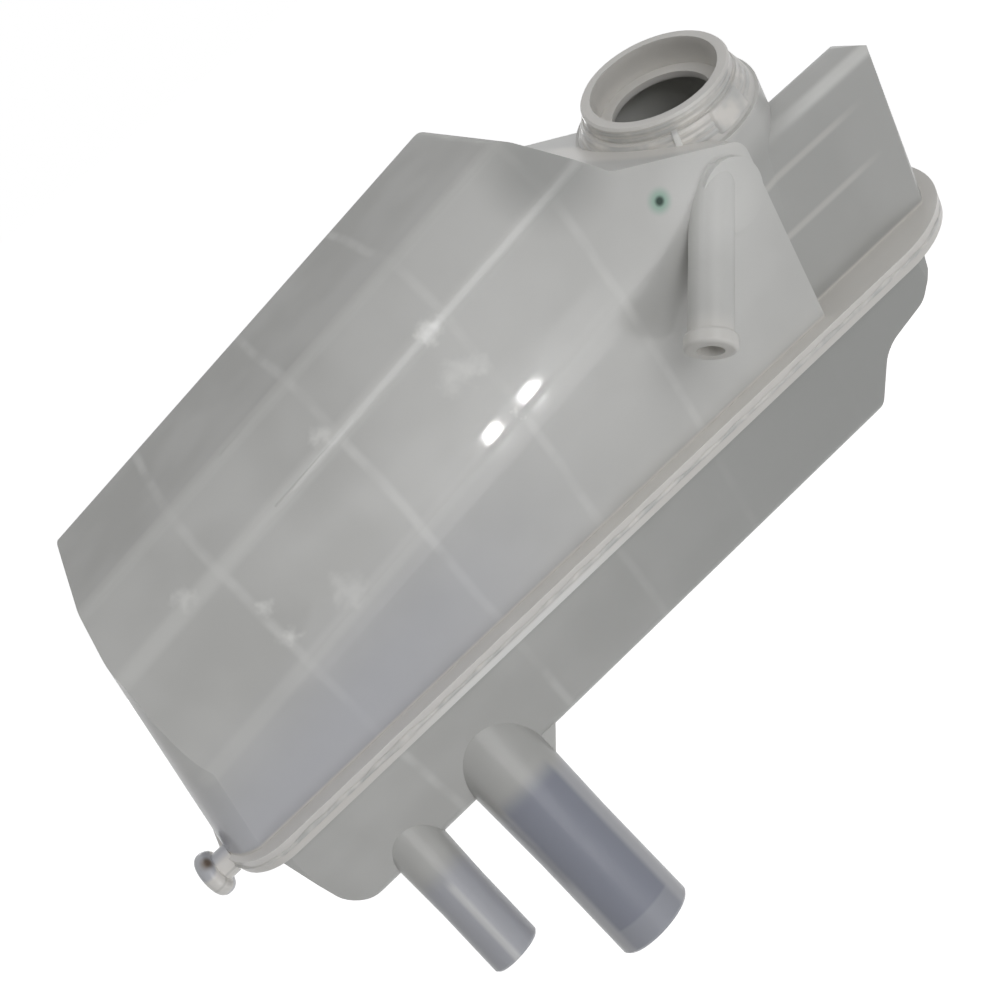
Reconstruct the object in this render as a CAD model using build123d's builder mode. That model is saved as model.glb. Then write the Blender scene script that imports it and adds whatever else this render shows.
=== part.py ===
import math
import os

from build123d import *

# Coolant expansion tank: two injection moulded halves, welded along a flange.
# Millimetres, +Z up, +X along the flange, -Y to the front.
# The origin is where the locating peg leaves the flange's left end.

# Walls and flange
WALL = 2.6
RIB = 2.0
FLANGE_T = 3.4
LIP = 5.0
LEFT_LIP = 0.5

# Flange outline in plan
FLANGE_LEN = 342.5
FLANGE_FRONT = -17.0
FLANGE_BACK = 80.5
NOSE_R = 44.0
NOSE_BACK_Y = 45.0
NOSE_BACK_R = 18.0
SHOULDER_X = 301.0
SHOULDER_R = 25.0
LEFT_FRONT_R = 20.0
LEFT_BACK_R = 14.0

# Main upper body: its section runs along a line that climbs by CLIMB
CLIMB = 0.14
LEFT_LEAN = 0.275
CREASE_Y = -11.3
CREASE_Z = 32.9
EDGE_Y = -3.8
EDGE_Z = 70.9
ROOF_Y = 14.0
ROOF_Z = 87.2
ROOF_BACK_Y = 74.0
ROOF_RISE = 0.8
ROOF_TRIM = 0.3
BACK_TOP_R = 6.0
SECTION_R = 7.0
CREASE_R = 14.0
MAIN_END_X = 265.0
MAIN_END_Z = 74.0
VALLEY_X = 225.0
VALLEY_Z = 92.5
VALLEY_R = 4.0
SHOULDER_TOP_X = 207.0
SHOULDER_TOP_R = 8.0
MAIN_END_R = 5.0
REACH = 140.0

# Tower and filler neck
NECK_X = 268.2
NECK_Y = 29.8
DECK_Z = 80.0
NECK_TILT = 13.0
TOWER_R = 31.0
NECK_R = 25.0
NECK_BORE_R = 21.4
NECK_H = 13.4
NECK_FLARE_H = 8.0
NECK_FLARE_R = 26.0
NECK_ROOT_R = 30.3
NECK_EDGE = 0.8
SEAT_DEPTH = 10.0
SEAT_R = 17.0
SEAT_T = 2.4
THROAT_R = 22.4

# Right lobe, set back from the main front face
LOBE_FRONT = -3.0
LOBE_SHOULDER_Y = 1.0
LOBE_SHOULDER_Z = 63.0
LOBE_TOP_Y = 15.0
LOBE_TOP_Z = 66.0
LOBE_BACK_Y = 49.0
LOBE_BACK_Z = 18.0
LOBE_START_X = 250.0
LOBE_R = 7.0
LOBE_END_R = 20.0

# Degas spigot on its boss
SPIGOT_ROOT = (249.0, -9.0, 66.5)
SPIGOT_TIP = (212.0, -34.0, 40.9)
SPIGOT_R = 7.0
SPIGOT_BORE_R = 4.2
SPIGOT_BEAD_R = 8.2
SPIGOT_BEAD_L = 5.0
BOSS_R = 11.5
BOSS_X = 253.0
BOSS_Z = 63.0
BOSS_RISE = 1.8
BOSS_DEPTH = 10.0
SPIGOT_INSIDE = 6.0
SPIGOT_TURN = 14.0
SPIGOT_EDGE_R = 1.2

# Locating peg on the left end
PEG_NECK_R = 5.0
PEG_NECK_L = 3.2
PEG_HEAD_R = 8.0
PEG_HEAD_L = 5.6
PEG_EDGE_R = 2.4
PEG_ROOT_L = 2.4
PEG_CLEAR = 0.3

# Lower body
LOWER_DEPTH = 50.0
LOWER_STEP = 0.5
LOWER_TRIM = 0.2
LOWER_FRONT_DRAFT = 2.0
LOWER_BACK_DRAFT = 3.0
LOWER_EDGE_R = 6.0
LOWER_LEFT_X = 11.5
LOWER_LEFT_DRAFT = 4.0
LOWER_LEFT_R = 18.0
DEEP_END_X = 271.0
STEP_X = 283.0
STEP_Z = -27.5
SHELF_X = 303.5
SHELF_Z = -23.0
SHELF_END_X = 310.5
SHELF_END_Z = -14.0
LOWER_END_X = 312.5
DEEP_END_R = 6.0
STEP_R = 13.0
SHELF_R = 7.0

# Hose pipes on the lower body
PIPE_TILT = 37.0
PIPE_SWAY = 0.02
PIPE_Y = -8.0
PIPE_Z = -48.0
PIPE_SWELL = 1.2
FEED_X = 43.0
FEED_R = 9.6
FEED_WALL = 2.4
FEED_L = 46.3
FEED_HOSE_L = 26.0
OUTLET_X = 83.5
OUTLET_R = 14.9
OUTLET_WALL = 2.8
OUTLET_L = 72.0
OUTLET_HOSE_L = 40.0
PIPE_INSIDE = 22.0
PIPE_EDGE = 0.9
GUSSET_W = 7.4
GUSSET_L = 8.0
GUSSET_T = 3.0
GUSSET_ROOT = 6.0

# Baffle ribs and the passages through them
RIB_X = (63.0, 114.0, 160.0, 206.0)
LAST_RIB_X = 262.0
PASSAGE_Y = 38.0
UPPER_PASSAGE_Z = 22.0
PASSAGE_R = 9.0
VENT_DROP = 9.0
VENT_R = 4.5
LOWER_PASSAGE_Z = -30.0

EDGE_TAPER = 40.0

UP = (0.0, 0.0, 1.0)
DOWN = (0.0, 0.0, -1.0)
CLIMB_DIR = (1.0, 0.0, CLIMB)
LEFT_DIR = (LEFT_LEAN, 0.0, 1.0)
SIDE = Plane.YZ
FRONT_VIEW = Plane.XZ
DECK = Plane(
    origin=(NECK_X, NECK_Y, DECK_Z),
    x_dir=(1, 0, 0),
    z_dir=(0, -math.sin(math.radians(NECK_TILT)), math.cos(math.radians(NECK_TILT))),
)
PIPE_LEAN = (0.0, -math.sin(math.radians(PIPE_TILT)), -math.cos(math.radians(PIPE_TILT)))
PIPE_DIR = Vector(PIPE_SWAY, PIPE_LEAN[1], PIPE_LEAN[2]).normalized()


def corner_at(sketch, u, v):
    """The sketch vertex that lies nearest to the local point u, v."""
    return sketch.vertices().sort_by_distance((u, v))[0]


def outline(inset):
    """Plan outline of the flange, moved inwards by inset."""
    with BuildSketch() as sketch:
        with BuildLine():
            Polyline(
                (0, FLANGE_FRONT),
                (FLANGE_LEN, FLANGE_FRONT),
                (FLANGE_LEN, NOSE_BACK_Y),
                (SHOULDER_X, FLANGE_BACK),
                (0, FLANGE_BACK),
                close=True,
            )
        make_face()
        fillet(corner_at(sketch, 0, FLANGE_FRONT), LEFT_FRONT_R)
        fillet(corner_at(sketch, 0, FLANGE_BACK), LEFT_BACK_R)
        fillet(corner_at(sketch, FLANGE_LEN, FLANGE_FRONT), NOSE_R)
        fillet(corner_at(sketch, FLANGE_LEN, NOSE_BACK_Y), NOSE_BACK_R)
        fillet(corner_at(sketch, SHOULDER_X, FLANGE_BACK), SHOULDER_R)
        if inset != 0:
            offset(amount=-inset, kind=Kind.ARC, mode=Mode.REPLACE)
    return sketch.sketch


def section_prism(inset):
    """Front, roof and back of the main body, run along the climbing line."""
    with BuildPart() as prism:
        with BuildSketch(SIDE) as section:
            with BuildLine():
                Polyline(
                    (FLANGE_FRONT + LIP + inset, -REACH),
                    (CREASE_Y + inset, CREASE_Z),
                    (EDGE_Y + inset, EDGE_Z - 0.4 * inset),
                    (ROOF_Y + 0.4 * inset, ROOF_Z - inset),
                    (ROOF_BACK_Y - inset, ROOF_Z + ROOF_RISE - inset),
                    (FLANGE_BACK - LIP - inset, 0),
                    (FLANGE_BACK - LIP - inset, -REACH),
                    close=True,
                )
            make_face()
            fillet(corner_at(section, CREASE_Y + inset, CREASE_Z), CREASE_R)
            fillet(corner_at(section, EDGE_Y + inset, EDGE_Z), SECTION_R)
            fillet(corner_at(section, ROOF_Y, ROOF_Z), SECTION_R)
            fillet(corner_at(section, ROOF_BACK_Y, ROOF_Z), BACK_TOP_R - inset)
        extrude(amount=FLANGE_LEN * math.hypot(1.0, CLIMB), dir=CLIMB_DIR)
    return prism.part


def side_prism(inset):
    """Front view of the main body: roof, shoulder, valley and right end."""
    roof_left = ROOF_Z + ROOF_RISE - inset - ROOF_TRIM
    roof_right = roof_left + CLIMB * SHOULDER_TOP_X
    with BuildPart() as prism:
        with BuildSketch(FRONT_VIEW) as view:
            with BuildLine():
                Polyline(
                    (-REACH, -inset),
                    (MAIN_END_X - inset, -inset),
                    (MAIN_END_X - inset, MAIN_END_Z - inset),
                    (VALLEY_X - 0.5 * inset, VALLEY_Z - inset),
                    (SHOULDER_TOP_X - 0.6 * inset, roof_right),
                    (-REACH, roof_left - CLIMB * REACH),
                    close=True,
                )
            make_face()
            fillet(corner_at(view, MAIN_END_X, MAIN_END_Z), MAIN_END_R)
            fillet(corner_at(view, VALLEY_X, VALLEY_Z), VALLEY_R)
            fillet(corner_at(view, SHOULDER_TOP_X, roof_right), SHOULDER_TOP_R)
        extrude(amount=REACH, both=True)
    return prism.part


def main_body(inset, foot):
    """The tall left part of the upper half, shrunk by inset."""
    with BuildPart() as body:
        with BuildSketch(Plane(origin=(LEFT_LIP - LIP, 0, -foot))):
            add(outline(LIP + inset))
        extrude(amount=REACH * math.hypot(1.0, LEFT_LEAN), dir=LEFT_DIR)
        add(section_prism(inset), mode=Mode.INTERSECT)
        add(side_prism(inset), mode=Mode.INTERSECT)
    return body.part


def tower(inset, foot):
    """Round tower under the filler neck, cut off by the deck."""
    with BuildPart() as body:
        with BuildSketch(Plane.XY.offset(-foot)):
            with Locations((NECK_X, NECK_Y)):
                Circle(TOWER_R - inset)
        extrude(amount=REACH)
        split(bisect_by=DECK.offset(-inset), keep=Keep.BOTTOM)
    return body.part


def lobe(inset, foot):
    """Right lobe with its rounded nose and sloping back."""
    with BuildPart() as body:
        with BuildSketch(SIDE.offset(LOBE_START_X)) as section:
            with BuildLine():
                Polyline(
                    (LOBE_FRONT + inset, -foot),
                    (LOBE_SHOULDER_Y + inset, LOBE_SHOULDER_Z - 0.5 * inset),
                    (LOBE_TOP_Y - 0.3 * inset, LOBE_TOP_Z - inset),
                    (LOBE_BACK_Y - inset, LOBE_BACK_Z),
                    (LOBE_BACK_Y - inset, -foot),
                    close=True,
                )
            make_face()
            fillet(corner_at(section, LOBE_SHOULDER_Y, LOBE_SHOULDER_Z), LOBE_R - inset)
            fillet(corner_at(section, LOBE_TOP_Y, LOBE_TOP_Z), LOBE_R - inset)
        extrude(amount=REACH)
        with BuildSketch(Plane.XY.offset(-foot)):
            add(outline(LIP + inset))
        extrude(amount=REACH, dir=UP, mode=Mode.INTERSECT)
        end_x = FLANGE_LEN - LIP - inset
        with BuildSketch(FRONT_VIEW) as view:
            with BuildLine():
                Polyline(
                    (0, -REACH),
                    (end_x, -REACH),
                    (end_x, LOBE_TOP_Z - inset),
                    (0, LOBE_TOP_Z - inset),
                    close=True,
                )
            make_face()
            fillet(corner_at(view, end_x, LOBE_TOP_Z), LOBE_END_R - inset)
        extrude(amount=REACH, both=True, mode=Mode.INTERSECT)
    return body.part


def upper_cavity():
    """Hollow of the upper half, open downwards past the weld face."""
    with BuildPart() as hollow:
        add(main_body(WALL, WALL))
        add(tower(WALL, WALL))
        add(lobe(WALL, WALL))
    return hollow.part


def lower_body(inset, head):
    """The trough of the lower half, shrunk by inset and reaching up to head."""
    floor = -LOWER_DEPTH + inset
    front = FLANGE_FRONT + LIP + LOWER_STEP + inset
    back = FLANGE_BACK - LIP - LOWER_STEP - inset
    left = LOWER_LEFT_X + inset
    with BuildPart() as body:
        with BuildSketch(SIDE) as section:
            with BuildLine():
                Polyline(
                    (front, head),
                    (front + LOWER_FRONT_DRAFT, floor - LOWER_TRIM),
                    (back - LOWER_BACK_DRAFT, floor - LOWER_TRIM),
                    (back, head),
                    close=True,
                )
            make_face()
            fillet(corner_at(section, front, floor), LOWER_EDGE_R - inset)
            fillet(corner_at(section, back, floor), LOWER_EDGE_R - inset)
        extrude(amount=FLANGE_LEN)
        with BuildSketch(FRONT_VIEW) as view:
            with BuildLine():
                Polyline(
                    (left, head),
                    (left + LOWER_LEFT_DRAFT, floor),
                    (DEEP_END_X - inset, floor),
                    (STEP_X - inset, STEP_Z + inset),
                    (SHELF_X - inset, SHELF_Z + inset),
                    (SHELF_END_X - inset, SHELF_END_Z + inset),
                    (LOWER_END_X - inset, head),
                    close=True,
                )
            make_face()
            fillet(corner_at(view, left, floor), LOWER_LEFT_R - inset)
            fillet(corner_at(view, DEEP_END_X, floor), DEEP_END_R - 0.5 * inset)
            fillet(corner_at(view, STEP_X, STEP_Z), STEP_R)
            fillet(corner_at(view, SHELF_X, SHELF_Z), SHELF_R - 0.5 * inset)
        extrude(amount=REACH, both=True, mode=Mode.INTERSECT)
        with BuildSketch(Plane.XY.offset(head)):
            add(outline(LIP + inset))
        extrude(amount=REACH, dir=DOWN, mode=Mode.INTERSECT)
    return body.part


def pipe_plane(x):
    """Plane at a pipe's root, facing down the pipe."""
    return Plane(origin=(x, PIPE_Y, PIPE_Z), x_dir=(1, 0, 0), z_dir=PIPE_DIR)


def ribs(places, host, height):
    """Flat baffles across the tank at places, kept inside host, on one side of the weld face."""
    with BuildPart() as plates:
        for x in places:
            with BuildSketch(SIDE.offset(x - RIB / 2)):
                with Locations((0, height / 2)):
                    Rectangle(2 * REACH, abs(height))
            extrude(amount=RIB)
        add(host, mode=Mode.INTERSECT)
    return plates.part


spigot_axis = Vector(SPIGOT_TIP) - Vector(SPIGOT_ROOT)
SPIGOT_L = spigot_axis.length
SPIGOT = Plane(origin=SPIGOT_ROOT, x_dir=(0, 1, 0), z_dir=spigot_axis.normalized())
PEG = Plane(origin=(0, 0, 0), x_dir=(0, 1, 0), z_dir=(-1, 0, 0))
BOSS = Plane(origin=(BOSS_X, CREASE_Y - BOSS_RISE, BOSS_Z), x_dir=(1, 0, 0), z_dir=(0, 1, 0))
GUSSET = Plane(origin=(OUTLET_X, PIPE_Y, PIPE_Z), x_dir=(1, 0, 0), z_dir=(0, -PIPE_LEAN[2], PIPE_LEAN[1]))
VENT = Plane(origin=(0, PASSAGE_Y, ROOF_Z - VENT_DROP), x_dir=(0, 1, 0), z_dir=CLIMB_DIR)

os.makedirs("parts", exist_ok=True)

# Baffles of the upper half, with a vent under the roof and a passage lower down
with BuildPart() as upper_ribs:
    add(ribs(RIB_X, main_body(WALL / 2, 0.0), REACH))
    with BuildSketch(VENT):
        Circle(VENT_R)
    extrude(amount=FLANGE_LEN, mode=Mode.SUBTRACT)
    with BuildSketch(SIDE):
        with Locations((PASSAGE_Y, UPPER_PASSAGE_Z)):
            Circle(PASSAGE_R)
    extrude(amount=FLANGE_LEN, mode=Mode.SUBTRACT)

# Baffles of the lower half, with a passage near the floor
with BuildPart() as lower_ribs:
    add(ribs(RIB_X + (LAST_RIB_X,), lower_body(WALL / 2, 0.0), -REACH))
    with BuildSketch(SIDE):
        with Locations((PASSAGE_Y, LOWER_PASSAGE_Z)):
            Circle(PASSAGE_R)
    extrude(amount=FLANGE_LEN, mode=Mode.SUBTRACT)

# Head of the locating peg and bead of the spigot, both with rounded edges
with BuildPart(PEG.offset(PEG_NECK_L)) as peg_head:
    Cylinder(PEG_HEAD_R, PEG_HEAD_L, align=(Align.CENTER, Align.CENTER, Align.MIN))
    fillet(peg_head.edges().filter_by(GeomType.CIRCLE), PEG_EDGE_R)
with BuildPart(SPIGOT.offset(SPIGOT_L - SPIGOT_BEAD_L)) as spigot_bead:
    Cylinder(SPIGOT_BEAD_R, SPIGOT_BEAD_L, align=(Align.CENTER, Align.CENTER, Align.MIN))
    fillet(spigot_bead.edges().filter_by(GeomType.CIRCLE), SPIGOT_EDGE_R)

# Upper half: body, tower, lobe, flange, neck, spigot, peg and baffles in one moulding
with BuildPart() as upper_shell:
    add(main_body(0.0, 0.0))
    add(tower(0.0, 0.0))
    add(lobe(0.0, 0.0))
    with BuildSketch():
        add(outline(0.0))
    extrude(amount=FLANGE_T, dir=UP)
    with BuildSketch(DECK):
        Circle(NECK_ROOT_R)
    extrude(amount=NECK_FLARE_H, taper=math.degrees(math.atan2(NECK_ROOT_R - NECK_FLARE_R, NECK_FLARE_H)))
    with BuildSketch(DECK):
        Circle(NECK_R)
    extrude(amount=NECK_H - NECK_EDGE)
    with BuildSketch(DECK.offset(NECK_H - NECK_EDGE)):
        Circle(NECK_R)
    extrude(amount=NECK_EDGE, taper=EDGE_TAPER)
    with BuildSketch(BOSS):
        Circle(BOSS_R)
    extrude(amount=BOSS_DEPTH)
    with BuildSketch(SPIGOT.offset(-SPIGOT_INSIDE)):
        Circle(SPIGOT_R)
    extrude(amount=SPIGOT_INSIDE + SPIGOT_L)
    add(spigot_bead.part)
    add(upper_cavity(), mode=Mode.SUBTRACT)
    with BuildSketch(PEG.offset(-PEG_ROOT_L)):
        Circle(PEG_NECK_R)
    extrude(amount=PEG_ROOT_L + PEG_NECK_L)
    with BuildSketch():
        add(outline(-PEG_CLEAR))
    extrude(amount=REACH, dir=DOWN, mode=Mode.SUBTRACT)
    add(peg_head.part)
    with BuildSketch(DECK.offset(NECK_H)):
        Circle(NECK_BORE_R)
    extrude(amount=-SEAT_DEPTH, mode=Mode.SUBTRACT)
    with BuildSketch(DECK.offset(NECK_H)):
        Circle(SEAT_R)
    extrude(amount=-SEAT_DEPTH - 2 * SEAT_T, mode=Mode.SUBTRACT)
    with BuildSketch(DECK.offset(NECK_H - SEAT_DEPTH - SEAT_T)):
        Circle(THROAT_R)
    extrude(amount=-NECK_H, mode=Mode.SUBTRACT)
    with BuildSketch(SPIGOT):
        Circle(SPIGOT_BORE_R)
    extrude(amount=SPIGOT_L, mode=Mode.SUBTRACT)
    with BuildSketch(Plane(origin=SPIGOT_ROOT, x_dir=(1, 0, 0), z_dir=(0, 1, 0))):
        Circle(SPIGOT_BORE_R)
    extrude(amount=SPIGOT_TURN, mode=Mode.SUBTRACT)
    add(upper_ribs.part)
upper_shell.part.label = "upper_shell"
export_step(upper_shell.part, "parts/upper_shell.step")

# Lower half: trough, flange plate, two hose pipes and baffles in one moulding
with BuildPart() as lower_shell:
    add(lower_body(0.0, 0.0))
    with BuildSketch():
        add(outline(0.0))
    extrude(amount=FLANGE_T, dir=DOWN)
    for pipe_x, pipe_r, pipe_l, hose_l in (
        (FEED_X, FEED_R, FEED_L, FEED_HOSE_L),
        (OUTLET_X, OUTLET_R, OUTLET_L, OUTLET_HOSE_L),
    ):
        root_l = PIPE_INSIDE + pipe_l - hose_l
        with BuildSketch(pipe_plane(pipe_x).offset(-PIPE_INSIDE)):
            Circle(pipe_r + PIPE_SWELL)
        extrude(amount=root_l, taper=math.degrees(math.atan2(PIPE_SWELL, root_l)))
        with BuildSketch(pipe_plane(pipe_x).offset(pipe_l - hose_l)):
            Circle(pipe_r)
        extrude(amount=hose_l - PIPE_EDGE)
        with BuildSketch(pipe_plane(pipe_x).offset(pipe_l - PIPE_EDGE)):
            Circle(pipe_r)
        extrude(amount=PIPE_EDGE, taper=EDGE_TAPER)
    with BuildSketch(GUSSET):
        with BuildLine():
            Polyline(
                (0, -GUSSET_ROOT),
                (OUTLET_R + GUSSET_W, -GUSSET_ROOT),
                (OUTLET_R + GUSSET_W, 0),
                (OUTLET_R, GUSSET_L),
                (0, GUSSET_L),
                close=True,
            )
        make_face()
    extrude(amount=GUSSET_T / 2, both=True)
    add(lower_body(WALL, WALL), mode=Mode.SUBTRACT)
    for pipe_x, bore_r, pipe_l in (
        (FEED_X, FEED_R - FEED_WALL, FEED_L),
        (OUTLET_X, OUTLET_R - OUTLET_WALL, OUTLET_L),
    ):
        with BuildSketch(pipe_plane(pipe_x).offset(-PIPE_INSIDE)):
            Circle(bore_r)
        extrude(amount=PIPE_INSIDE + pipe_l, mode=Mode.SUBTRACT)
    add(lower_ribs.part)
lower_shell.part.label = "lower_shell"
export_step(lower_shell.part, "parts/lower_shell.step")
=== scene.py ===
"""Looks of a welded coolant expansion tank: milky plastic, neck lugs and thread, weld flash and stage."""

import math

import bpy
import numpy as np
from mathutils import Matrix, Vector


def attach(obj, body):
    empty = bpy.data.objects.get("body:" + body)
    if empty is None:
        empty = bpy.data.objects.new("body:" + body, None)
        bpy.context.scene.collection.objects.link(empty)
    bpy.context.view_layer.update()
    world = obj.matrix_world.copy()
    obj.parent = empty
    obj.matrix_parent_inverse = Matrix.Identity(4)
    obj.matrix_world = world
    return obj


bl_info = {
    "name": "Expansion tank looks",
    "version": (1, 0, 0),
    "blender": (4, 5, 0),
    "location": "View3D > Sidebar > Tank",
    "description": "Milky plastic, neck thread, weld flash and stage of a coolant expansion tank",
    "category": "Object",
}

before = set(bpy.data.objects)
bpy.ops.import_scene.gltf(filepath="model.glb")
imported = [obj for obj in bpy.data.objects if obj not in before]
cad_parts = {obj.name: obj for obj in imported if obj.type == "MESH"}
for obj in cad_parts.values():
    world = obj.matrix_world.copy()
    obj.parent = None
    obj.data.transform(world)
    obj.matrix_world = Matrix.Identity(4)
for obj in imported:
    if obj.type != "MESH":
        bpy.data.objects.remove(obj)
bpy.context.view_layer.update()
MM = 0.001

UPPER = "upper_shell"
LOWER = "lower_shell"
BODY = "root"

# The frame's shapes, in millimetres
CLIMB = 0.14
RIB_X = (63.0, 114.0, 160.0, 206.0)
LOWER_RIB_X = RIB_X + (262.0,)
CREASE = (-11.3, 32.9)
NECK_FOOT = np.array([268.2, 29.8, 80.0])
NECK_TILT = math.radians(13.0)
NECK_AXIS = np.array([0.0, -math.sin(NECK_TILT), math.cos(NECK_TILT)])
NECK_RIGHT = np.array([1.0, 0.0, 0.0])
NECK_BACK = np.cross(NECK_AXIS, NECK_RIGHT)
NECK_PROFILE_H = (0.0, 7.99, 8.01, 13.4)
NECK_PROFILE_R = (30.3, 26.0, 25.0, 25.0)
PIPE_ROOT = (-8.0, -48.0)
PIPE_DIR = (0.019996, -0.601695, -0.798476)
FEED_X = 43.0
OUTLET_X = 83.5
CORNER_AT = (20.0, 3.0)
CORNER_RADIUS = 20.0
NOSE_AT = (298.5, 27.0)
NOSE_RADIUS = 44.0

# Tones: lengths in millimetres, shares from 0 to 1. A span is where a fade starts and ends.
# A reach is how far from its middle a band is full, and how far out it is gone.
PATCH_SIZE = 38.0
SMALL_PATCH_SIZE = 9.0
PATCH_SPAN = (0.35, 0.65)
RIB_REACH = (0.4, 2.4)
RIB_WANDER_SIZE = 45.0
RIB_WANDER = 3.0
RIB_FLECK_SIZE = 14.0
RIB_FLECK_SPAN = (0.3, 0.7)
RIB_SHARE = (0.1, 0.6)
CAST_LEVEL = (5.0, 45.0)
CAST_X = (60.0, 190.0)
CAST_SHARE = 0.7
BODY_END_X = (190.0, 225.0)
# Light lines along the body's long edges, with place and strength; the one on the crease is a painted
# highlight streak.
LONG_EDGES = (((14.0, 87.2), 0.5), ((-3.8, 70.9), 0.6), (CREASE, 0.35))
LONG_EDGE_REACH = (1.4, 4.2)
MARK_SWIRL = 5.0
MARK_CORE = 0.1
LOBE_X = (258.0, 266.0)
LOBE_Y = (-8.0, -3.0)
LOBE_Z = (58.0, 68.0)
LOBE_SHARE = 0.5
LOBE_LINES = (30.2, 49.6)
LOBE_LINE_REACH = (0.3, 1.8)
LOBE_LINE_X = (300.0, 320.0)
LOBE_LINE_Y = (4.0, 8.0)
LOBE_LINE_SHARE = 0.35
# Painted highlight along the lobe's top front edge.
LOBE_RIDGE_HIGHLIGHT = (2.3, 62.0)
LOBE_RIDGE_REACH = (0.8, 3.4)
LOBE_RIDGE_X = (280.0, 306.0)
LOBE_RIDGE_SHARE = 0.45
TOWER_X = (215.0, 240.0)
TOWER_Y = (-9.0, -6.0)
TOWER_SHARE = 0.35
FLANGE_REACH = (3.6, 5.0)
FLANGE_SHARE = 0.85
SEAM_REACH = (0.2, 0.7)
SEAM_SHARE = 0.3
NECK_REACH = (36.0, 44.0)
NECK_H = (-2.0, 3.0)
NECK_SHARE = 0.65
ROOF_LEVEL = (76.0, 88.0)
SKIN_Y = (-4.0, 12.0)
# Painted shade: the lower half darkens towards its right end.
FAR_X = (50.0, 270.0)
FAR_SHARE = (0.15, 0.95)
# Painted highlight along the flange's lower edge.
LIP_EDGE = (-17.0, -2.6)
LIP_EDGE_REACH = (0.8, 2.6)
LIP_SHINE = (118.0, -17.0, -2.0)
LIP_SHINE_REACH = (14.0, 70.0)
PIPE_RUN = (6.0, 14.0)
PIPE_SHARE = 0.7
# Painted highlight along the feed pipe.
GLINT_REACH = (0.4, 2.0)
GLINT_RUN = (10.0, 16.0)
GLINT_SHARE = 0.6
BORE_START = (3.0, 12.0)
BORE_INSIDE = 1.6
BORE_OUTSIDE = 0.6
BORE_STOP = 0.6
BORE_PAST_STOP = 0.6

# Bores that show through the pipes: place along the tank, half width, length run to its stop, strength
BORES = ((FEED_X, 8.6, 60.0, 0.25), (OUTLET_X, 11.4, 63.0, 0.95))

# Round patches of colour: place, reach and strength
# Painted light: a broad pale pool on the front's right part.
PAINTED_LIGHT_PATCH = ((190.0, -10.0, 62.0), (25.0, 95.0), 0.4)
# Painted shade on the roof's end slope.
ROOF_CORNER_SHADE_PATCH = ((212.0, 2.0, 104.0), (6.0, 24.0), 0.7)
SPIGOT_TIP_PATCH = ((212.0, -34.0, 40.9), (6.0, 14.0), 0.6)
BOSS_PATCH = ((247.0, -14.0, 66.0), (8.0, 24.0), 0.8)
# A dark spot on the peg.
PEG_SPOT_PATCH = ((-4.1, -2.6, 7.0), (0.6, 3.2), 1.0)
INK_AT = (232.5, -9.1, 76.5)
HALO_PATCH = (INK_AT, (1.2, 5.0), 0.8)
INK_PATCH = (INK_AT, (0.7, 2.1), 1.0)

# How far red, green and blue spread in the wall, as shares of the spread depth
SPREAD_RADII = (1.0, 1.0, 0.95)

# Relief in the shading: lengths in millimetres, and the blend as a share of the height
WAVE_SIZE = 26.0
WAVE_HEIGHT = 0.05
CREASE_SLOPE = 0.096
CREASE_REACH = 8.0
CREASE_ROUND = 0.3
CREASE_BLEND = 0.4
CREASE_START_X = (25.0, 70.0)
CREASE_Y = (0.0, 30.0)

# Thread: lengths in millimetres, width as a share of the pitch, steps in one turn and fade in radians
THREAD_FOOT = 1.2
THREAD_TOP = 12.0
THREAD_SINK = 0.25
THREAD_WIDTH = 0.7
THREAD_STEPS = 140
THREAD_ACROSS = 9
THREAD_FADE = 0.5

# Lugs on the neck: steps round and up, steepness of the flanks,
# first and last angle in degrees, and lowest and highest place over the deck
LUG_STEPS = (41, 31)
LUG_FLANK = 4.0
NECK_LUGS = (("stop_pad", -95.0, -61.0, 0.6, 8.6), ("stop_rib", -122.5, -117.5, -1.5, 9.0))

# Weld flash: lengths in millimetres, and mixes as shares of an even part, the waves and the lump
FLASH_SINK = 0.3
FLASH_FRONT_Y = -17.0
FLASH_LEFT_Y = (40.0, 12.0)
FLASH_STEPS = {"left": 30, "corner": 40, "front": 420, "nose": 60}
FLASH_SIDES = 11
FLASH_END = 12.0
FLASH_END_WIDTH = 0.3
FLASH_SWAY = 0.25
FLASH_RISE_MIX = (0.75, 0.3, 0.6)
FLASH_WIDTH_MIX = (0.85, 0.2, 0.5)
LUMP_X = 66.0
LUMP_HALF = 5.0
LUMP_FRONT_Y = -16.0

# Waves of the weld flash along its run: height, length over a radian and phase
FLASH_WAVES = ((0.5, 2.3, 0.0), (0.3, 5.9, 1.0), (0.4, 17.0, 2.0))

# Soft light marks where something inside touches the wall: place, radius and strength
INNER_MARKS = (
    ((153.7, -3.5, 92.1), 5.2, 0.95),
    ((156.6, -7.3, 74.9), 6.0, 0.5),
    ((151.1, -6.6, 77.6), 7.0, 0.4),
    ((159.0, -11.2, 55.6), 2.4, 0.8),
    ((64.9, -9.3, 51.9), 4.8, 0.6),
    ((64.9, -7.2, 62.5), 4.0, 0.5),
    ((109.9, -1.1, 88.8), 4.8, 0.5),
    ((51.0, -2.2, 79.4), 4.8, 0.4),
    ((86.4, -10.3, 50.0), 8.0, 0.3),
)

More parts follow.
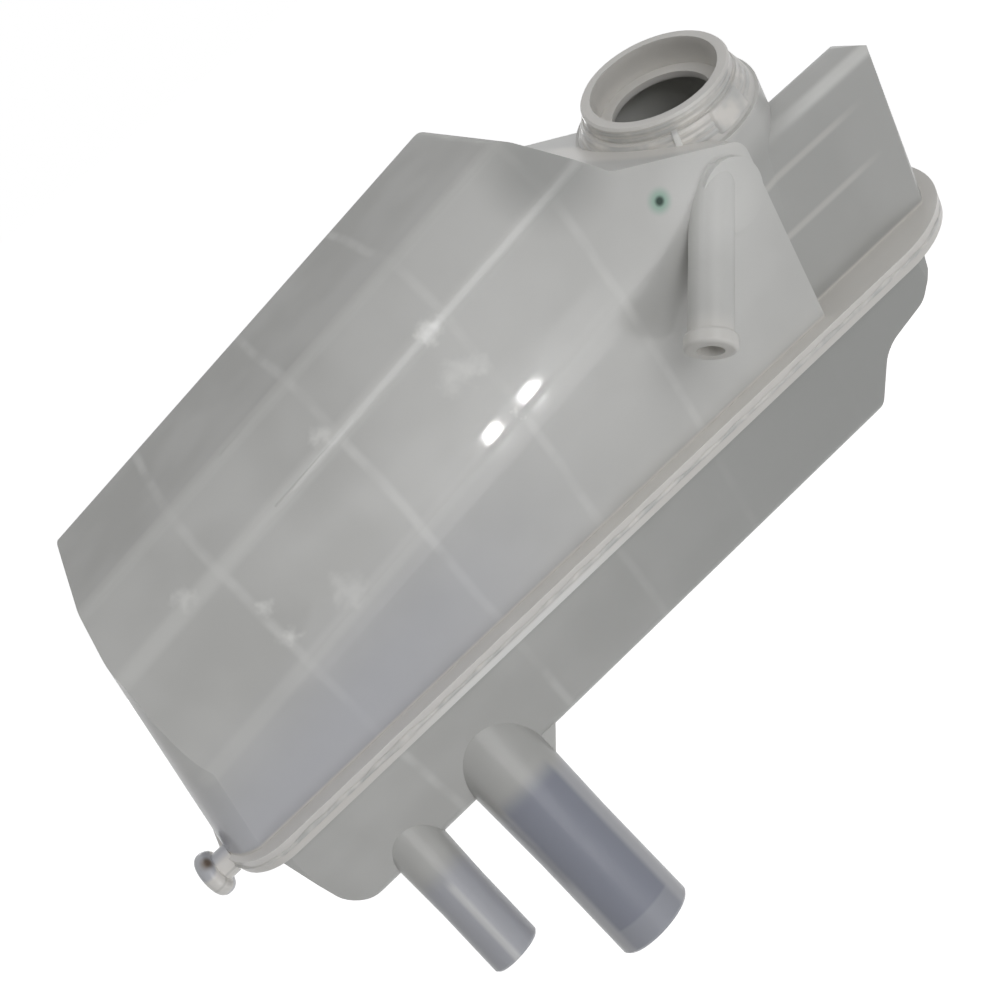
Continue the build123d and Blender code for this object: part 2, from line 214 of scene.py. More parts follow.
# Stage, in metres. A panel has a name, a place, a size and the setting that gives its power.
STAGE_AIM = (0.16, 0.03, 0.04)
PANELS = (
    ("Front panel", (0.40, -1.05, 0.75), (1.0, 0.7), "key"),
    ("Top panel", (0.05, 0.30, 1.25), (1.0, 0.8), "top"),
    ("Low panel", (0.35, -1.25, -0.30), (0.9, 0.5), "low"),
    ("Back panel", (0.10, 1.35, -0.40), (0.9, 0.6), "back"),
)
SPOTS = (("Left spot", (0.316, -1.138, -0.325)), ("Right spot", (0.393, -1.131, -0.317)))
SPOT_SIZE = (0.03, 0.03)
SENSOR_WIDTH_MM = 36.0
CLIP_START = 0.01
WHITE = (1.0, 1.0, 1.0, 1.0)
FLOOR_HALF_MM = 6000.0
FLOOR_TONE = (0.6, 0.6, 0.6, 1.0)
FLOOR_GLOW = 0.9


def rgb(colour):
    """A colour property as the four numbers that a socket takes."""
    return (colour[0], colour[1], colour[2], 1.0)


def grid_piece(name, points):
    """A smooth quad piece on a grid of points in millimetres: u along axis 0, v along axis 1."""
    count_u, count_v = points.shape[:2]
    index = np.arange(count_u * count_v).reshape(count_u, count_v)
    quads = np.stack([index[:-1, :-1], index[1:, :-1], index[1:, 1:], index[:-1, 1:]], axis=-1)
    mesh = bpy.data.meshes.new(name)
    mesh.from_pydata((points.reshape(-1, 3) * MM).tolist(), [], quads.reshape(-1, 4).tolist())
    mesh.polygons.foreach_set("use_smooth", np.ones(len(mesh.polygons), dtype=bool))
    mesh.update()
    piece = bpy.data.objects.new(name, mesh)
    bpy.context.collection.objects.link(piece)
    return piece


def neck_radius(height):
    """Outer radius of the neck at a height above its deck."""
    return np.interp(height, NECK_PROFILE_H, NECK_PROFILE_R)


def neck_points(height, angle, radius):
    """Points round the neck's axis from arrays of height, angle and radius."""
    out = NECK_FOOT + height[..., None] * NECK_AXIS
    out = out + (radius * np.cos(angle))[..., None] * NECK_RIGHT
    return out + (radius * np.sin(angle))[..., None] * NECK_BACK


class Shader:
    """Short calls for building one material's node tree."""

    def __init__(self, name):
        self.material = bpy.data.materials.new(name)
        self.material.use_nodes = True
        self.tree = self.material.node_tree
        self.surface = self.tree.nodes["Principled BSDF"]

    def feed(self, socket, value):
        """Links value to socket if it is a socket, and sets it otherwise."""
        if isinstance(value, bpy.types.NodeSocket):
            self.tree.links.new(value, socket)
        else:
            socket.default_value = value

    def math(self, operation, *values):
        """The result of a Math node on up to three values."""
        made = self.tree.nodes.new("ShaderNodeMath")
        made.operation = operation
        for socket, value in zip(made.inputs, values):
            self.feed(socket, value)
        return made.outputs[0]

    def product(self, first, *others):
        """All the values multiplied."""
        for other in others:
            first = self.math("MULTIPLY", first, other)
        return first

    def ramp(self, value, span, at_start, at_end):
        """A smooth step: at_start where value is under the span, at_end where it is over it."""
        made = self.tree.nodes.new("ShaderNodeMapRange")
        made.interpolation_type = "SMOOTHSTEP"
        for socket, number in zip(made.inputs, (value, span[0], span[1], at_start, at_end)):
            self.feed(socket, number)
        return made.outputs[0]

    def grow(self, value, span, top=1.0):
        """0 where value is under the span, top where it is over it."""
        return self.ramp(value, span, 0.0, top)

    def fade(self, value, span, top=1.0):
        """Top where value is under the span, 0 where it is over it."""
        return self.ramp(value, span, top, 0.0)

    def band(self, value, centre, reach):
        """1 near a centre value, falling to 0 over the reach."""
        return self.fade(self.math("ABSOLUTE", self.math("SUBTRACT", value, centre)), reach)

    def mix(self, share, first, second):
        """Colour first where share is 0 and second where it is 1."""
        made = self.tree.nodes.new("ShaderNodeMix")
        made.data_type = "RGBA"
        sockets = {socket.identifier: socket for socket in made.inputs}
        self.feed(sockets["Factor_Float"], share)
        self.feed(sockets["A_Color"], first)
        self.feed(sockets["B_Color"], second)
        results = {socket.identifier: socket for socket in made.outputs}
        return results["Result_Color"]

    def place(self):
        """Object coordinates in millimetres: the vector and its three parts."""
        coords = self.tree.nodes.new("ShaderNodeTexCoord")
        scaled = self.tree.nodes.new("ShaderNodeVectorMath")
        scaled.operation = "SCALE"
        self.feed(scaled.inputs[0], coords.outputs["Object"])
        scaled.inputs["Scale"].default_value = 1.0 / MM
        split = self.tree.nodes.new("ShaderNodeSeparateXYZ")
        self.feed(split.inputs[0], scaled.outputs[0])
        return scaled.outputs[0], split.outputs[0], split.outputs[1], split.outputs[2]

    def cloud(self, vector, size):
        """Soft noise about 0.5, with features of about size millimetres."""
        made = self.tree.nodes.new("ShaderNodeTexNoise")
        self.feed(made.inputs["Vector"], vector)
        made.inputs["Scale"].default_value = 1.0 / size
        return made.outputs[0]

    def warp(self, vector, size, reach):
        """The vector pushed about by up to reach millimetres, in swirls of about size."""
        noise = self.tree.nodes.new("ShaderNodeTexNoise")
        self.feed(noise.inputs["Vector"], vector)
        noise.inputs["Scale"].default_value = 1.0 / size
        middle = self.tree.nodes.new("ShaderNodeVectorMath")
        middle.operation = "SUBTRACT"
        self.feed(middle.inputs[0], noise.outputs["Color"])
        middle.inputs[1].default_value = (0.5, 0.5, 0.5)
        push = self.tree.nodes.new("ShaderNodeVectorMath")
        push.operation = "MULTIPLY_ADD"
        self.feed(push.inputs[0], middle.outputs[0])
        push.inputs[1].default_value = (2.0 * reach, 2.0 * reach, 2.0 * reach)
        self.feed(push.inputs[2], vector)
        return push.outputs[0]

    def waves(self, vector):
        """Slight unevenness of a moulded wall in broad waves, in millimetres."""
        return self.math("MULTIPLY", self.cloud(vector, WAVE_SIZE), WAVE_HEIGHT)

    def near(self, vector, point, reach):
        """1 near a point, falling to 0 over the reach."""
        made = self.tree.nodes.new("ShaderNodeVectorMath")
        made.operation = "DISTANCE"
        self.feed(made.inputs[0], vector)
        made.inputs[1].default_value = point
        return self.fade(made.outputs["Value"], reach)

    def edge(self, across, up, point, reach):
        """1 near a line seen end on at a point (across, up), falling to 0 over the reach."""
        side = self.math("SUBTRACT", across, point[0])
        rise = self.math("SUBTRACT", up, point[1])
        squares = self.math("MULTIPLY_ADD", rise, rise, self.math("MULTIPLY", side, side))
        return self.fade(self.math("SQRT", squares), reach)

    def run(self, y, z, root, direction):
        """How far a point lies along a direction from a root, both given by their y and z."""
        up = self.math("MULTIPLY", self.math("SUBTRACT", z, root[1]), direction[1])
        return self.math("MULTIPLY_ADD", self.math("SUBTRACT", y, root[0]), direction[0], up)

    def patch(self, colour, vector, spot, tint):
        """The colour with a round patch of tint, whose spot is a place, a reach and a strength."""
        point, reach, strength = spot
        return self.mix(self.product(self.near(vector, point, reach), strength), colour, rgb(tint))

    def relief(self, height):
        """Bends the surface's normals as if it stood height millimetres higher."""
        made = self.tree.nodes.new("ShaderNodeBump")
        made.inputs["Strength"].default_value = 1.0
        made.inputs["Distance"].default_value = MM
        self.feed(made.inputs["Height"], height)
        self.feed(self.surface.inputs["Normal"], made.outputs[0])
        self.feed(self.surface.inputs["Coat Normal"], made.outputs[0])

    def finish(self, style, gloss):
        """Sets the plastic's constants: roughness, refraction, smooth skin and light spread in the wall."""
        self.surface.inputs["Roughness"].default_value = style.roughness
        self.surface.inputs["IOR"].default_value = style.refraction
        self.surface.inputs["Coat Weight"].default_value = gloss
        self.surface.inputs["Coat Roughness"].default_value = style.gloss_roughness
        self.surface.inputs["Subsurface Weight"].default_value = style.spread
        self.surface.inputs["Subsurface Radius"].default_value = SPREAD_RADII
        self.surface.inputs["Subsurface Scale"].default_value = style.spread_depth
        return self.material


def colour_prop(name, description, default):
    """A colour property."""
    return bpy.props.FloatVectorProperty(
        name=name, description=description, subtype="COLOR", size=3, min=0.0, max=1.0, default=default
    )


def share_prop(name, description, default):
    """A number from 0 to 1."""
    return bpy.props.FloatProperty(name=name, description=description, min=0.0, max=1.0, default=default)


def length_prop(name, description, default):
    """A length in metres."""
    return bpy.props.FloatProperty(name=name, description=description, unit="LENGTH", default=default)


def power_prop(name, description, default):
    """A lamp's power in watts, or a strength of light."""
    return bpy.props.FloatProperty(name=name, description=description, min=0.0, default=default)


def angle_prop(name, description, degrees):
    """An angle whose default is given in degrees."""
    return bpy.props.FloatProperty(
        name=name, description=description, subtype="ANGLE", default=math.radians(degrees)
    )


class TankPlastic(bpy.types.PropertyGroup):
    """Colours and finish of the milky plastic."""

    wall_light: colour_prop("Wall light", "Lighter patches of the plain wall", (0.60, 0.60, 0.585))
    wall_dark: colour_prop("Wall dark", "Darker patches of the plain wall", (0.53, 0.53, 0.515))
    cool: colour_prop("Cool", "Bluish cast low on the left of the front", (0.50, 0.51, 0.56))
    rib: colour_prop("Rib", "Where a baffle backs the wall", (0.76, 0.76, 0.74))
    # On the front's crease this line is a painted highlight streak.
    edge: colour_prop("Edge", "Along the body's long edges", (0.68, 0.68, 0.66))
    # Also the colour of painted highlights: the lobe's ridge, the flange's lower edge, the feed pipe and the
    # stop rib.
    mark: colour_prop("Mark", "Where something inside touches the wall", (0.95, 0.95, 0.92))
    # Partly painted light: it lifts the shaded flange ledge, neck and thread, and lightens the weld flash as
    # an edge highlight.
    lip: colour_prop("Lip", "Solid plastic of the flange and neck", (0.82, 0.795, 0.755))
    seam: colour_prop("Seam", "Weld line round the flange", (0.36, 0.36, 0.34))
    bore: colour_prop("Bore", "Where a pipe's bore shows through", (0.27, 0.285, 0.345))
    # Painted shade: it darkens the lobe, the roof's end slope and the lower half towards its right end.
    painted_shade: colour_prop("Deep", "Where the hollow behind the wall is dark", (0.36, 0.365, 0.355))
    ink: colour_prop("Ink", "Middle of the ink dot", (0.002, 0.03, 0.017))
    halo: colour_prop("Ink halo", "Ink that spread round the dot", (0.26, 0.49, 0.38))
    # Colour of a dark spot on the peg.
    peg_spot: colour_prop("Stain", "Dark mark on the peg", (0.16, 0.12, 0.09))
    roughness: share_prop("Roughness", "Surface roughness", 0.34)
    roof_roughness: share_prop("Roof roughness", "Surface roughness of the roof", 0.75)
    gloss: share_prop("Gloss", "Weight of the smooth skin on the front", 0.4)
    low_gloss: share_prop("Low gloss", "Weight of the smooth skin on the lower half and small pieces", 0.1)
    gloss_roughness: share_prop("Gloss roughness", "Roughness of the smooth skin", 0.06)
    spread: share_prop("Spread", "Share of light that spreads inside the wall", 0.3)
    refraction: bpy.props.FloatProperty(
        name="Refraction", description="Refractive index", default=1.49, min=1.0
    )
    spread_depth: length_prop("Spread depth", "How far light spreads inside the wall", 0.006)


class TankDetail(bpy.types.PropertyGroup):
    """Sizes of the thread, lugs and weld flash."""

    thread_pitch: length_prop("Thread pitch", "Rise of the thread in one turn", 0.0022)
    thread_rise: length_prop("Thread rise", "Height of the thread over the neck", 0.00016)
    lug_rise: length_prop("Lug rise", "Height of the lugs over the neck", 0.0009)
    flash_rise: length_prop("Flash rise", "How far the weld flash stands out", 0.0006)
    flash_width: length_prop("Flash width", "Half the width of the weld flash", 0.0011)


class TankStage(bpy.types.PropertyGroup):
    """Camera, lamps and floor."""

    location: bpy.props.FloatVectorProperty(
        name="Camera",
        description="Camera position",
        subtype="TRANSLATION",
        unit="LENGTH",
        size=3,
        default=(0.09637, -0.28339, 0.21673),
    )
    azimuth: angle_prop("Azimuth", "Camera heading", -8.733)
    elevation: angle_prop("Elevation", "Angle the camera looks down", 32.994)
    roll: angle_prop("Roll", "Camera roll", -37.951)
    lens: bpy.props.FloatProperty(
        name="Lens", description="Focal length in mm on a 36 mm sensor", default=38.517, min=1.0
    )
    fill: power_prop("Fill", "Light from all round", 0.20)
    key: power_prop("Key", "Power of the front panel", 5.2)
    top: power_prop("Top", "Power of the top panel", 2.15)
    low: power_prop("Low", "Power of the low panel", 2.2)
    back: power_prop("Back", "Power of the back panel", 5.0)
    spot: power_prop("Spot", "Power of each small lamp", 0.3)
    floor_z: length_prop("Floor", "Height of the floor", -0.6)


def plain_plastic(name, style, tint):
    """Mottled plastic for a small piece: noise mixes the tint with the wall's light colour."""
    shader = Shader(name)
    place, _, _, _ = shader.place()
    patch = shader.grow(shader.cloud(place, SMALL_PATCH_SIZE), PATCH_SPAN)
    shader.feed(shader.surface.inputs["Base Color"], shader.mix(patch, rgb(tint), rgb(style.wall_light)))
    return shader.finish(style, style.low_gloss)


def dress(piece, material):
    """Puts a new piece on the frame with its material."""
    piece.data.materials.append(material)
    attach(piece, BODY)


def wall_colour(shader, style, place, x, ribs):
    """Mottled wall with soft light lines at the baffles."""
    patch = shader.grow(shader.cloud(place, PATCH_SIZE), PATCH_SPAN)
    colour = shader.mix(patch, rgb(style.wall_dark), rgb(style.wall_light))
    wander = shader.math("MULTIPLY_ADD", shader.cloud(place, RIB_WANDER_SIZE), RIB_WANDER, -0.5 * RIB_WANDER)
    waved = shader.math("ADD", x, wander)
    lines = 0.0
    for rib_x in ribs:
        lines = shader.math("ADD", lines, shader.band(waved, rib_x, RIB_REACH))
    uneven = shader.ramp(shader.cloud(place, RIB_FLECK_SIZE), RIB_FLECK_SPAN, *RIB_SHARE)
    return shader.mix(shader.product(lines, uneven), colour, rgb(style.rib))


def flange_colour(shader, style, colour, z):
    """The colour lightened at the weld face: the flange's solid plastic, and partly painted light that lifts
    the ledge's shade.
    """
    return shader.mix(shader.product(shader.band(z, 0.0, FLANGE_REACH), FLANGE_SHARE), colour, rgb(style.lip))


def seam_colour(shader, style, colour, z):
    """The colour with the thin dark weld line."""
    return shader.mix(shader.product(shader.band(z, 0.0, SEAM_REACH), SEAM_SHARE), colour, rgb(style.seam))


class TANK_OT_shells(bpy.types.Operator):
    """Gives both halves their milky plastic, with baffles, bores and ink showing"""

    bl_idname = "tank.shells"
    bl_label = "Milky plastic"

    def body_colour(self, shader, style, place, x, y, level):
        """The climbing body's wall: bluish cast, a pale pool of painted light, edge lines with a painted
        highlight streak on the crease, and marks from inside.
        """
        colour = wall_colour(shader, style, place, x, RIB_X)
        cast = shader.product(shader.fade(level, CAST_LEVEL), shader.fade(x, CAST_X), CAST_SHARE)
        colour = shader.mix(cast, colour, rgb(style.cool))
        # Painted light: a broad pale pool on the front.
        colour = shader.patch(colour, place, PAINTED_LIGHT_PATCH, style.rib)
        body = shader.fade(x, BODY_END_X)
        # Light lines along the long edges; the line on the crease is a painted highlight streak.
        for point, strength in LONG_EDGES:
            line = shader.product(shader.edge(y, level, point, LONG_EDGE_REACH), strength, body)
            colour = shader.mix(line, colour, rgb(style.edge))
        uneven = shader.warp(place, MARK_SWIRL, MARK_SWIRL)
        for point, radius, strength in INNER_MARKS:
            colour = shader.patch(colour, uneven, (point, (MARK_CORE * radius, radius), strength), style.mark)
        return colour

    def tower_colour(self, shader, style, colour, place, x, y, z):
        """The colour with painted shade on the lobe and the roof's corner, the lobe's lines, a painted
        highlight on its ridge, and the tower's front.
        """
        # Painted shade: the lobe darker.
        lobe = shader.product(shader.grow(x, LOBE_X), shader.grow(y, LOBE_Y), shader.fade(z, LOBE_Z))
        colour = shader.mix(shader.product(lobe, LOBE_SHARE), colour, rgb(style.painted_shade))
        for line_z in LOBE_LINES:
            line = shader.product(shader.band(z, line_z, LOBE_LINE_REACH), lobe)
            line = shader.product(line, shader.fade(x, LOBE_LINE_X, LOBE_LINE_SHARE))
            line = shader.product(line, shader.fade(y, LOBE_LINE_Y))
            colour = shader.mix(line, colour, rgb(style.lip))
        # Painted shade on the roof's end slope.
        colour = shader.patch(colour, place, ROOF_CORNER_SHADE_PATCH, style.painted_shade)
        tower = shader.product(shader.grow(x, TOWER_X), shader.fade(y, TOWER_Y, TOWER_SHARE))
        colour = shader.mix(tower, colour, rgb(style.rib))
        # Painted highlight along the lobe's top edge.
        ridge = shader.edge(y, z, LOBE_RIDGE_HIGHLIGHT, LOBE_RIDGE_REACH)
        ridge = shader.product(ridge, shader.grow(x, LOBE_RIDGE_X, LOBE_RIDGE_SHARE))
        return shader.mix(ridge, colour, rgb(style.mark))

    def upper(self, style):
        """Upper half: body, tower, flange, neck, spigot and boss, with painted light and shade, the ink dot
        and a dark spot on the peg.
        """
        shader = Shader("Milky plastic upper")
        place, x, y, z = shader.place()
        level = shader.math("MULTIPLY_ADD", x, -CLIMB, z)
        colour = self.body_colour(shader, style, place, x, y, level)
        colour = self.tower_colour(shader, style, colour, place, x, y, z)
        colour = flange_colour(shader, style, colour, z)
        height = shader.run(y, z, NECK_FOOT[1:], NECK_AXIS[1:])
        # The neck lightened towards the lip colour: its solid plastic, and partly painted light on its shaded
        # side.
        neck = shader.near(place, tuple(NECK_FOOT), NECK_REACH)
        neck = shader.product(neck, shader.grow(height, NECK_H, NECK_SHARE))
        colour = shader.mix(neck, colour, rgb(style.lip))
        colour = shader.patch(colour, place, SPIGOT_TIP_PATCH, style.lip)
        colour = shader.patch(colour, place, BOSS_PATCH, style.rib)
        colour = seam_colour(shader, style, colour, z)
        # A dark spot on the peg.
        colour = shader.patch(colour, place, PEG_SPOT_PATCH, style.peg_spot)
        colour = shader.patch(colour, place, HALO_PATCH, style.halo)
        colour = shader.patch(colour, place, INK_PATCH, style.ink)
        shader.feed(shader.surface.inputs["Base Color"], colour)
        shader.relief(shader.math("ADD", self.soft_crease(shader, x, y, level), shader.waves(place)))
        material = shader.finish(style, style.gloss)
        dull = shader.ramp(level, ROOF_LEVEL, style.roughness, style.roof_roughness)
        shader.feed(shader.surface.inputs["Roughness"], dull)
        skin = shader.product(shader.fade(y, SKIN_Y, style.gloss), shader.fade(x, BODY_END_X))
        shader.feed(shader.surface.inputs["Coat Weight"], skin)
        return material

    def soft_crease(self, shader, x, y, level):
        """Height that rounds the front's crease: rises with distance from it and levels off smoothly."""
        gap = shader.math("SUBTRACT", level, CREASE[1])
        gap = shader.math("SQRT", shader.math("MULTIPLY_ADD", gap, gap, CREASE_ROUND**2))
        top = CREASE_SLOPE * CREASE_REACH
        rise = shader.math("SMOOTH_MIN", shader.product(gap, CREASE_SLOPE), top, CREASE_BLEND * top)
        ends = shader.product(shader.grow(x, CREASE_START_X), shader.fade(x, BODY_END_X))
        front = shader.product(ends, shader.fade(y, CREASE_Y))
        return shader.product(shader.math("SUBTRACT", rise, top), front)

    def lower(self, style):
        """Lower half: baffle lines, painted shade towards the right end, painted highlights on the flange's
        lower edge and the feed pipe, and the pipes' bores darker through the wall.
        """
        shader = Shader("Milky plastic lower")
        place, x, y, z = shader.place()
        colour = wall_colour(shader, style, place, x, LOWER_RIB_X)
        # Painted shade: darker towards the right end.
        colour = shader.mix(shader.ramp(x, FAR_X, *FAR_SHARE), colour, rgb(style.painted_shade))
        colour = flange_colour(shader, style, colour, z)
        colour = seam_colour(shader, style, colour, z)
        # Painted highlight along the flange's lower edge, strongest near one place.
        shine = shader.edge(y, z, LIP_EDGE, LIP_EDGE_REACH)
        shine = shader.product(shine, shader.near(place, LIP_SHINE, LIP_SHINE_REACH))
        colour = shader.mix(shine, colour, rgb(style.mark))
        run = shader.run(y, z, PIPE_ROOT, PIPE_DIR[1:])
        sway = shader.math("MULTIPLY_ADD", run, -PIPE_DIR[0], x)
        colour = shader.mix(shader.grow(run, PIPE_RUN, PIPE_SHARE), colour, rgb(style.cool))
        # Painted highlight along the feed pipe.
        glint = shader.band(sway, FEED_X, GLINT_REACH)
        glint = shader.product(glint, shader.grow(run, GLINT_RUN, GLINT_SHARE))
        colour = shader.mix(glint, colour, rgb(style.mark))
        for root_x, half, end, strength in BORES:
            bore = shader.band(sway, root_x, (half - BORE_INSIDE, half + BORE_OUTSIDE))
            stop = shader.ramp(run, (end - BORE_STOP, end + BORE_STOP), 1.0, BORE_PAST_STOP)
            share = shader.product(bore, shader.grow(run, BORE_START), stop, strength)
            colour = shader.mix(share, colour, rgb(style.bore))
        shader.feed(shader.surface.inputs["Base Color"], colour)
        shader.relief(shader.waves(place))
        return shader.finish(style, style.low_gloss)

    def execute(self, context):
        style = context.scene.tank_plastic
        for node, material in ((UPPER, self.upper(style)), (LOWER, self.lower(style))):
            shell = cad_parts[node]
            shell.data.materials.clear()
            shell.data.materials.append(material)
        return {"FINISHED"}


class TANK_OT_thread(bpy.types.Operator):
    """Winds the fine thread round the filler neck"""

    bl_idname = "tank.thread"
    bl_label = "Neck thread"

    def execute(self, context):
        """Ridge whose height above the deck grows by the pitch each turn, with a raised-cosine section."""
        detail = context.scene.tank_detail
        pitch = detail.thread_pitch / MM
        rise = detail.thread_rise / MM
        turns = (THREAD_TOP - THREAD_FOOT) / pitch
        angle = np.linspace(0.0, 2.0 * math.pi * turns, int(THREAD_STEPS * turns))[:, None]
        across = np.linspace(-0.5, 0.5, THREAD_ACROSS)[None, :]
        height = THREAD_FOOT + pitch * angle / (2.0 * math.pi) + THREAD_WIDTH * pitch * across
        lift = rise * (0.5 + 0.5 * np.cos(2.0 * math.pi * across))
        fade = np.clip(np.minimum(angle, angle[-1, 0] - angle) / THREAD_FADE, 0.0, 1.0)
        radius = neck_radius(height) - THREAD_SINK + (lift + THREAD_SINK) * fade
        piece = grid_piece("neck_thread", neck_points(height, angle + np.zeros_like(across), radius))
        style = context.scene.tank_plastic
        # The lip colour here is partly painted light on the neck's shaded side.
        dress(piece, plain_plastic("Thread plastic", style, style.lip))
        return {"FINISHED"}


class TANK_OT_lugs(bpy.types.Operator):
    """Raises the cap's stop pad and rib on the neck"""

    bl_idname = "tank.lugs"
    bl_label = "Neck lugs"

    def execute(self, context):
        """Patches of the neck lifted by a flat-topped bump of angle and height."""
        rise = context.scene.tank_detail.lug_rise / MM
        style = context.scene.tank_plastic
        # The stop rib takes the near-white mark colour: a painted highlight on the rib.
        tints = {"stop_pad": style.lip, "stop_rib": style.mark}
        for name, first, last, foot, top in NECK_LUGS:
            turn, along = np.meshgrid(*(np.linspace(-1.0, 1.0, count) for count in LUG_STEPS), indexing="ij")
            angle = np.radians((first + last) / 2.0 + turn * (last - first) / 2.0)
            height = (foot + top) / 2.0 + along * (top - foot) / 2.0
            sides = np.clip(LUG_FLANK * (1.0 - np.abs(turn)), 0.0, 1.0)
            ends = np.clip(LUG_FLANK * (1.0 - np.abs(along)), 0.0, 1.0)
            bump = sides * ends
            bump = bump * bump * (3.0 - 2.0 * bump)
            radius = neck_radius(height) - THREAD_SINK + (rise + THREAD_SINK) * bump
            material = plain_plastic(name + " plastic", style, tints[name])
            dress(grid_piece(name, neck_points(height, angle, radius)), material)
        return {"FINISHED"}


class TANK_OT_flash(bpy.types.Operator):
    """Runs the uneven weld flash along the front of the flange seam"""

    bl_idname = "tank.flash"
    bl_label = "Weld flash"

    def route(self):
        """Points along the flange edge and their outward directions: left end, corner, front, nose."""
        left_y = np.linspace(*FLASH_LEFT_Y, FLASH_STEPS["left"])
        left = np.stack([np.zeros_like(left_y), left_y], axis=1)
        turn = np.linspace(math.pi, 1.5 * math.pi, FLASH_STEPS["corner"])[:, None]
        corner = np.array(CORNER_AT) + CORNER_RADIUS * np.concatenate([np.cos(turn), np.sin(turn)], axis=1)
        front_x = np.linspace(CORNER_AT[0], NOSE_AT[0], FLASH_STEPS["front"])[1:-1]
        front = np.stack([front_x, np.full_like(front_x, FLASH_FRONT_Y)], axis=1)
        turn = np.linspace(-0.5 * math.pi, -0.25 * math.pi, FLASH_STEPS["nose"])[:, None]
        nose = np.array(NOSE_AT) + NOSE_RADIUS * np.concatenate([np.cos(turn), np.sin(turn)], axis=1)
        points = np.concatenate([left, corner, front, nose], axis=0)
        along = np.gradient(points, axis=0)
        along = along / np.linalg.norm(along, axis=1)[:, None]
        return points, np.stack([along[:, 1], -along[:, 0]], axis=1)

    def execute(self, context):
        """Half-round bead whose width and rise wander by three sines of the length run."""
        detail = context.scene.tank_detail
        points, outward = self.route()
        run = np.concatenate([[0.0], np.cumsum(np.linalg.norm(np.diff(points, axis=0), axis=1))])
        wander = sum(height * np.sin(run / length + phase) for height, length, phase in FLASH_WAVES)
        lump = np.exp(-(((points[:, 0] - LUMP_X) / LUMP_HALF) ** 2)) * (points[:, 1] < LUMP_FRONT_Y)
        ways = np.stack([np.ones_like(run), wander, lump])
        fade = np.clip(np.minimum(run, run[-1] - run) / FLASH_END, 0.0, 1.0)
        rise = detail.flash_rise / MM * (np.array(FLASH_RISE_MIX) @ ways) * fade
        half = detail.flash_width / MM * (np.array(FLASH_WIDTH_MIX) @ ways)
        half = half * (FLASH_END_WIDTH + (1.0 - FLASH_END_WIDTH) * fade)
        turn = np.linspace(0.0, math.pi, FLASH_SIDES)[None, :]
        out = (rise + FLASH_SINK)[:, None] * np.sin(turn) - FLASH_SINK
        height = FLASH_SWAY * wander[:, None] + half[:, None] * np.cos(turn)
        flat = points[:, None, :] + outward[:, None, :] * out[..., None]
        piece = grid_piece("weld_flash", np.concatenate([flat, height[..., None]], axis=2))
        style = context.scene.tank_plastic
        # The lighter lip colour is the bead's solid plastic and partly a painted edge highlight.
        dress(piece, plain_plastic("Flash plastic", style, style.lip))
        return {"FINISHED"}


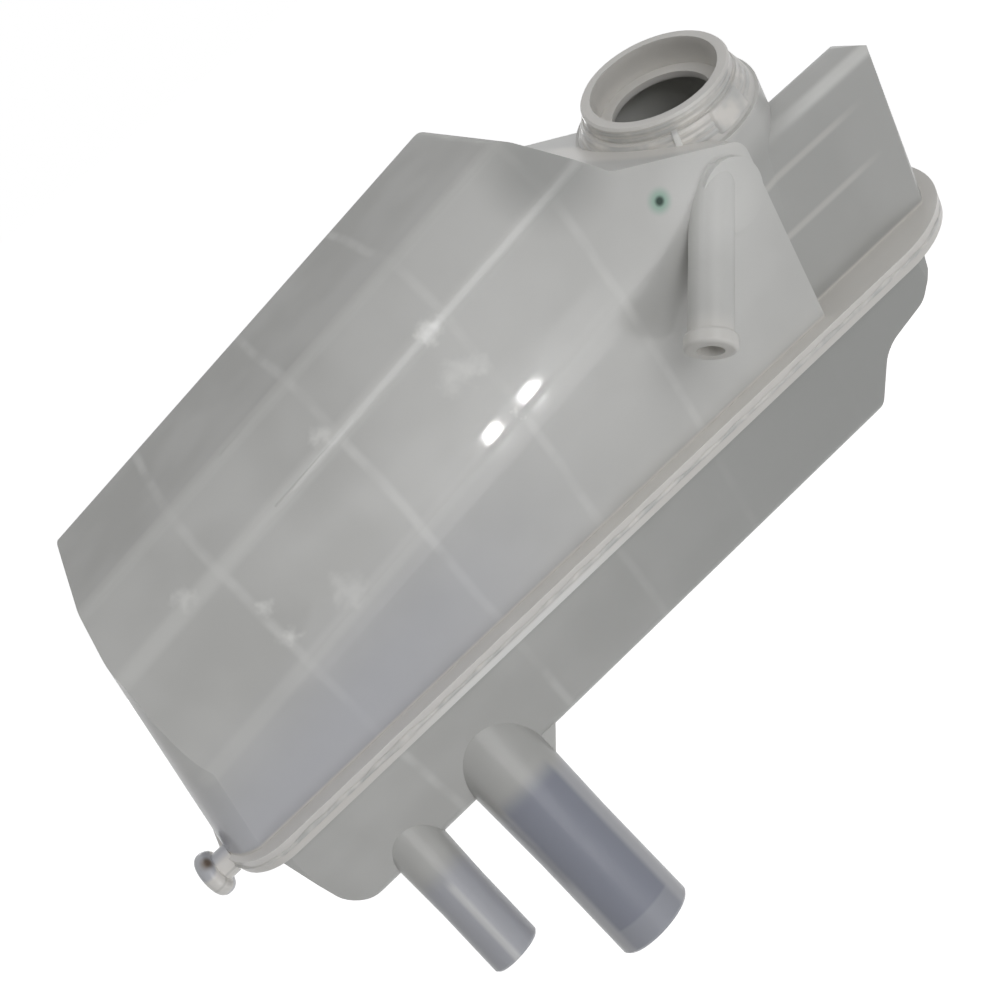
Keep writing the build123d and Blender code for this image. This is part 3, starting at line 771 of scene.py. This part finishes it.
class TANK_OT_stage(bpy.types.Operator):
    """Sets the camera, the lamps, the white world and the floor"""

    bl_idname = "tank.stage"
    bl_label = "Stage"

    def lamp(self, name, place, aim, size, watts, shape="RECTANGLE"):
        """An area lamp at place that shines towards aim."""
        data = bpy.data.lights.new(name, "AREA")
        data.shape = shape
        data.size = size[0]
        data.size_y = size[1]
        data.energy = watts
        lamp = bpy.data.objects.new(name, data)
        lamp.location = place
        lamp.rotation_euler = (Vector(aim) - Vector(place)).to_track_quat("-Z", "Y").to_euler()
        bpy.context.collection.objects.link(lamp)

    def camera(self, scene, style):
        """Camera from its position, heading, downward angle and roll."""
        heading = Matrix.Rotation(style.azimuth, 3, "Z")
        right = heading @ Vector((1, 0, 0))
        ahead = heading @ Vector((0, math.cos(style.elevation), -math.sin(style.elevation)))
        above = right.cross(ahead)
        turned = right * math.cos(style.roll) + above * math.sin(style.roll)
        upward = above * math.cos(style.roll) - right * math.sin(style.roll)
        data = bpy.data.cameras.new("Camera")
        data.sensor_width = SENSOR_WIDTH_MM
        data.lens = style.lens
        data.clip_start = CLIP_START
        camera = bpy.data.objects.new("Camera", data)
        pose = Matrix((turned, upward, -ahead)).transposed().to_4x4()
        pose.translation = style.location
        camera.matrix_world = pose
        bpy.context.collection.objects.link(camera)
        scene.camera = camera

    def shown(self, tree):
        """One for the rays that show the background: the camera's, reflected ones and those through glass."""
        path = tree.nodes.new("ShaderNodeLightPath")
        share = path.outputs["Is Camera Ray"]
        for ray in ("Is Glossy Ray", "Is Transmission Ray"):
            most = tree.nodes.new("ShaderNodeMath")
            most.operation = "MAXIMUM"
            tree.links.new(share, most.inputs[0])
            tree.links.new(path.outputs[ray], most.inputs[1])
            share = most.outputs[0]
        return share

    def world(self, scene, style):
        """White where the background shows, and an even fill to everything else."""
        world = bpy.data.worlds.new("World")
        scene.world = world
        world.use_nodes = True
        tree = world.node_tree
        tree.nodes.clear()
        out = tree.nodes.new("ShaderNodeOutputWorld")
        share = tree.nodes.new("ShaderNodeMixShader")
        fill = tree.nodes.new("ShaderNodeBackground")
        seen = tree.nodes.new("ShaderNodeBackground")
        fill.inputs["Color"].default_value = WHITE
        seen.inputs["Color"].default_value = WHITE
        fill.inputs["Strength"].default_value = style.fill
        tree.links.new(self.shown(tree), share.inputs[0])
        tree.links.new(fill.outputs[0], share.inputs[1])
        tree.links.new(seen.outputs[0], share.inputs[2])
        tree.links.new(share.outputs[0], out.inputs["Surface"])

    def floor(self, style):
        """A wide pale floor that the camera sees as nearly white, with the object's soft shadow."""
        ends = (-FLOOR_HALF_MM, FLOOR_HALF_MM)
        corners = np.array([[(x, y, style.floor_z / MM) for x in ends] for y in ends])
        floor = grid_piece("floor", corners)
        shader = Shader("Floor")
        tree = shader.tree
        tree.nodes.remove(shader.surface)
        matte = tree.nodes.new("ShaderNodeBsdfDiffuse")
        matte.inputs["Color"].default_value = FLOOR_TONE
        glow = tree.nodes.new("ShaderNodeEmission")
        glow.inputs["Strength"].default_value = FLOOR_GLOW
        both = tree.nodes.new("ShaderNodeAddShader")
        share = tree.nodes.new("ShaderNodeMixShader")
        out = tree.nodes["Material Output"]
        tree.links.new(matte.outputs[0], both.inputs[0])
        tree.links.new(glow.outputs[0], both.inputs[1])
        tree.links.new(self.shown(tree), share.inputs[0])
        tree.links.new(matte.outputs[0], share.inputs[1])
        tree.links.new(both.outputs[0], share.inputs[2])
        tree.links.new(share.outputs[0], out.inputs["Surface"])
        floor.data.materials.append(shader.material)

    def execute(self, context):
        style = context.scene.tank_stage
        scene = context.scene
        scene.view_settings.view_transform = "Standard"
        self.camera(scene, style)
        self.world(scene, style)
        self.floor(style)
        for name, place, size, power in PANELS:
            self.lamp(name, place, STAGE_AIM, size, getattr(style, power))
        for name, place in SPOTS:
            self.lamp(name, place, STAGE_AIM, SPOT_SIZE, style.spot, "ELLIPSE")
        return {"FINISHED"}


class TANK_PT_panel(bpy.types.Panel):
    """Lists the tank's steps and settings"""

    bl_label = "Tank"
    bl_idname = "TANK_PT_panel"
    bl_space_type = "VIEW_3D"
    bl_region_type = "UI"
    bl_category = "Tank"

    def draw(self, context):
        for step in STEPS:
            self.layout.operator(step.bl_idname)
        for group in (context.scene.tank_plastic, context.scene.tank_detail, context.scene.tank_stage):
            for key in group.bl_rna.properties.keys():
                if key not in ("rna_type", "name"):
                    self.layout.prop(group, key)


STEPS = (TANK_OT_shells, TANK_OT_thread, TANK_OT_lugs, TANK_OT_flash, TANK_OT_stage)
CLASSES = (TankPlastic, TankDetail, TankStage) + STEPS + (TANK_PT_panel,)


def register():
    for cls in CLASSES:
        bpy.utils.register_class(cls)
    bpy.types.Scene.tank_plastic = bpy.props.PointerProperty(type=TankPlastic)
    bpy.types.Scene.tank_detail = bpy.props.PointerProperty(type=TankDetail)
    bpy.types.Scene.tank_stage = bpy.props.PointerProperty(type=TankStage)


def unregister():
    del bpy.types.Scene.tank_stage
    del bpy.types.Scene.tank_detail
    del bpy.types.Scene.tank_plastic
    for cls in reversed(CLASSES):
        bpy.utils.unregister_class(cls)


def main():
    register()
    bpy.ops.tank.shells()
    bpy.ops.tank.thread()
    bpy.ops.tank.lugs()
    bpy.ops.tank.flash()
    bpy.ops.tank.stage()


if __name__ == "__main__":
    main()
